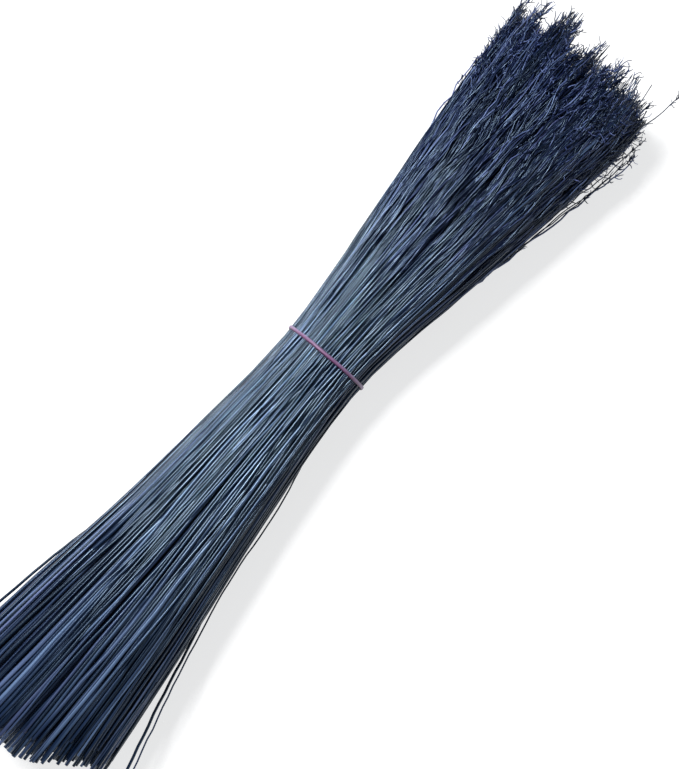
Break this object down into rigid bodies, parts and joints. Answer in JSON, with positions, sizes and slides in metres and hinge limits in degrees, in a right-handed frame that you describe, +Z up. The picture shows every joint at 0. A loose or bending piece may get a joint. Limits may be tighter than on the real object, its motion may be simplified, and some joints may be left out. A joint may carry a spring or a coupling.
{
  "type": "bundle of broom corn",
  "caption": "Hourglass bundle of blue-dyed broom corn, its loose stalks cut square at one end and brushed out at the other, held at the waist by a thin elastic band.",
  "frame": {"origin": "on the surface the bundle lies on, at the middle of its footprint", "axes": "+X along the bundle towards its brush, +Z up"},
  "size_m": [0.5952, 0.1496, 0.0811],
  "materials": {
    "stalk": "dried straw dyed navy blue, satin",
    "band": "mauve, matt"
  },
  "bodies": {
    "root": {"centre_stalks": "stalk", "ring_1_stalks_01": "stalk", "ring_1_stalks_02": "stalk", "ring_1_stalks_03": "stalk", "ring_1_stalks_04": "stalk", "ring_1_stalks_05": "stalk", "ring_1_stalks_06": "stalk", "ring_2_stalks_01": "stalk", "ring_2_stalks_02": "stalk", "ring_2_stalks_03": "stalk", "ring_2_stalks_04": "stalk", "ring_2_stalks_05": "stalk", "ring_2_stalks_06": "stalk", "ring_2_stalks_07": "stalk", "ring_2_stalks_08": "stalk", "ring_2_stalks_09": "stalk", "ring_2_stalks_10": "stalk", "ring_2_stalks_11": "stalk", "ring_2_stalks_12": "stalk", "ring_3_stalks_01": "stalk", "ring_3_stalks_02": "stalk", "ring_3_stalks_03": "stalk", "ring_3_stalks_04": "stalk", "ring_3_stalks_05": "stalk", "ring_3_stalks_06": "stalk", "ring_3_stalks_07": "stalk", "ring_3_stalks_08": "stalk", "ring_3_stalks_09": "stalk", "ring_3_stalks_10": "stalk", "ring_3_stalks_11": "stalk", "ring_3_stalks_12": "stalk", "ring_3_stalks_13": "stalk", "ring_3_stalks_14": "stalk", "ring_3_stalks_15": "stalk", "ring_3_stalks_16": "stalk", "ring_3_stalks_17": "stalk", "ring_3_stalks_18": "stalk", "ring_3_stalks_19": "stalk", "ring_3_stalks_20": "stalk", "elastic_band": "band"}
  },
  "joints": []
}
